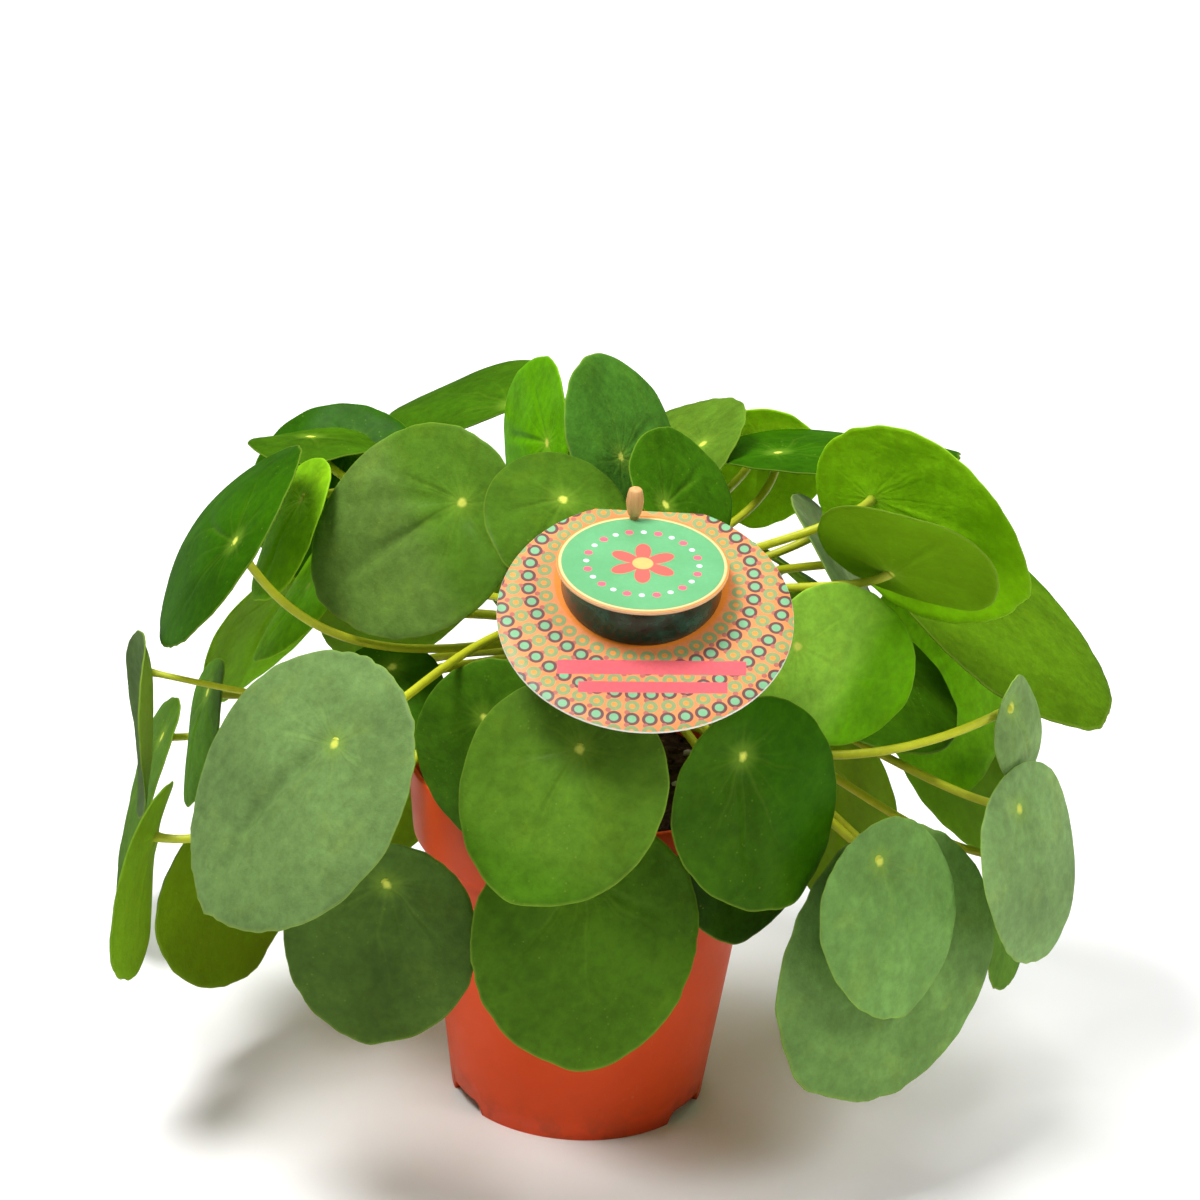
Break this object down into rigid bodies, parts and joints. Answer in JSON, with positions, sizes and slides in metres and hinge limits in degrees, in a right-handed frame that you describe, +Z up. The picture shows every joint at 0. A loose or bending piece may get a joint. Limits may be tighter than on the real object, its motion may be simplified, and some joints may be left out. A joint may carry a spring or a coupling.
{
  "type": "potted chinese money plant",
  "caption": "Potted money plant: a mound of round glossy leaves on arching petioles in a plastic nursery pot, with a round card label on a wooden peg.",
  "frame": {"origin": "on the ground, under the middle of the pot, which is the middle of the plant's spread within its tolerance", "axes": "+Z up, -Y towards the front of the plant where the label faces, +X to the right seen from the front"},
  "size_m": [0.3449, 0.2538, 0.2477],
  "materials": {
    "pot_plastic": "satin moulded plastic, terracotta orange-red, light scuffs",
    "soil": "matt crumbly potting soil, dark brown",
    "petiole": "smooth yellow-green plant stalk, brown woody base",
    "leaf": "smooth slightly fleshy leaf, mid green, semi-gloss, paler spot over the stalk",
    "label_card": "printed card, matt, orange ground with rings, white cut edge",
    "label_block": "dark green gloss",
    "label_lid": "printed card, plain mint green with an orange edge",
    "label_peg": "bare turned wood"
  },
  "bodies": {
    "root": {"pot": "pot_plastic", "soil": "soil", "stem_and_petioles": "petiole", "leaf_01_front_middle": "leaf", "leaf_02_front_low": "leaf", "leaf_03_front_right": "leaf", "leaf_04_front_right_high": "leaf", "leaf_05_front_left_low": "leaf", "leaf_06_front_left_large": "leaf", "leaf_07_front_left_inner": "leaf", "leaf_08_front_right_low": "leaf", "leaf_09_right_low_front": "leaf", "leaf_10_right_low_large": "leaf", "leaf_11_right_hanging": "leaf", "leaf_12_right_tilted": "leaf", "leaf_13_right_low_back": "leaf", "leaf_14_right_wide": "leaf", "leaf_15_right_under": "leaf", "leaf_16_right_low_inner": "leaf", "leaf_17_right_high_back": "leaf", "leaf_18_right_high_small": "leaf", "leaf_19_right_high_front": "leaf", "leaf_20_top_right": "leaf", "leaf_21_top_back": "leaf", "leaf_22_top_edge_on": "leaf", "leaf_23_top_small": "leaf", "leaf_24_top_upright": "leaf", "leaf_25_top_level": "leaf", "leaf_26_top_front": "leaf", "leaf_27_top_left_inner": "leaf", "leaf_28_left_top_back": "leaf", "leaf_29_left_top_middle": "leaf", "leaf_30_left_wide": "leaf", "leaf_31_left_edge_on": "leaf", "leaf_32_left_cupped": "leaf", "leaf_33_left_rolled": "leaf", "leaf_34_left_low_light": "leaf", "leaf_35_left_low_under": "leaf", "leaf_36_left_inner_high": "leaf", "leaf_37_left_inner_low": "leaf", "leaf_38_left_back_middle": "leaf", "leaf_39_right_top_back": "leaf", "leaf_40_right_back_inner": "leaf", "leaf_41_back_high": "leaf", "leaf_42_back_left_high": "leaf", "leaf_43_back_right_high": "leaf", "leaf_44_back_low": "leaf", "leaf_45_back_left_low": "leaf", "leaf_46_back_left_far": "leaf", "leaf_47_back_right_low": "leaf", "leaf_48_back_right_far": "leaf", "label_card": "label_card", "label_block": "label_block", "label_lid": "label_lid", "label_peg": "label_peg"}
  },
  "joints": []
}
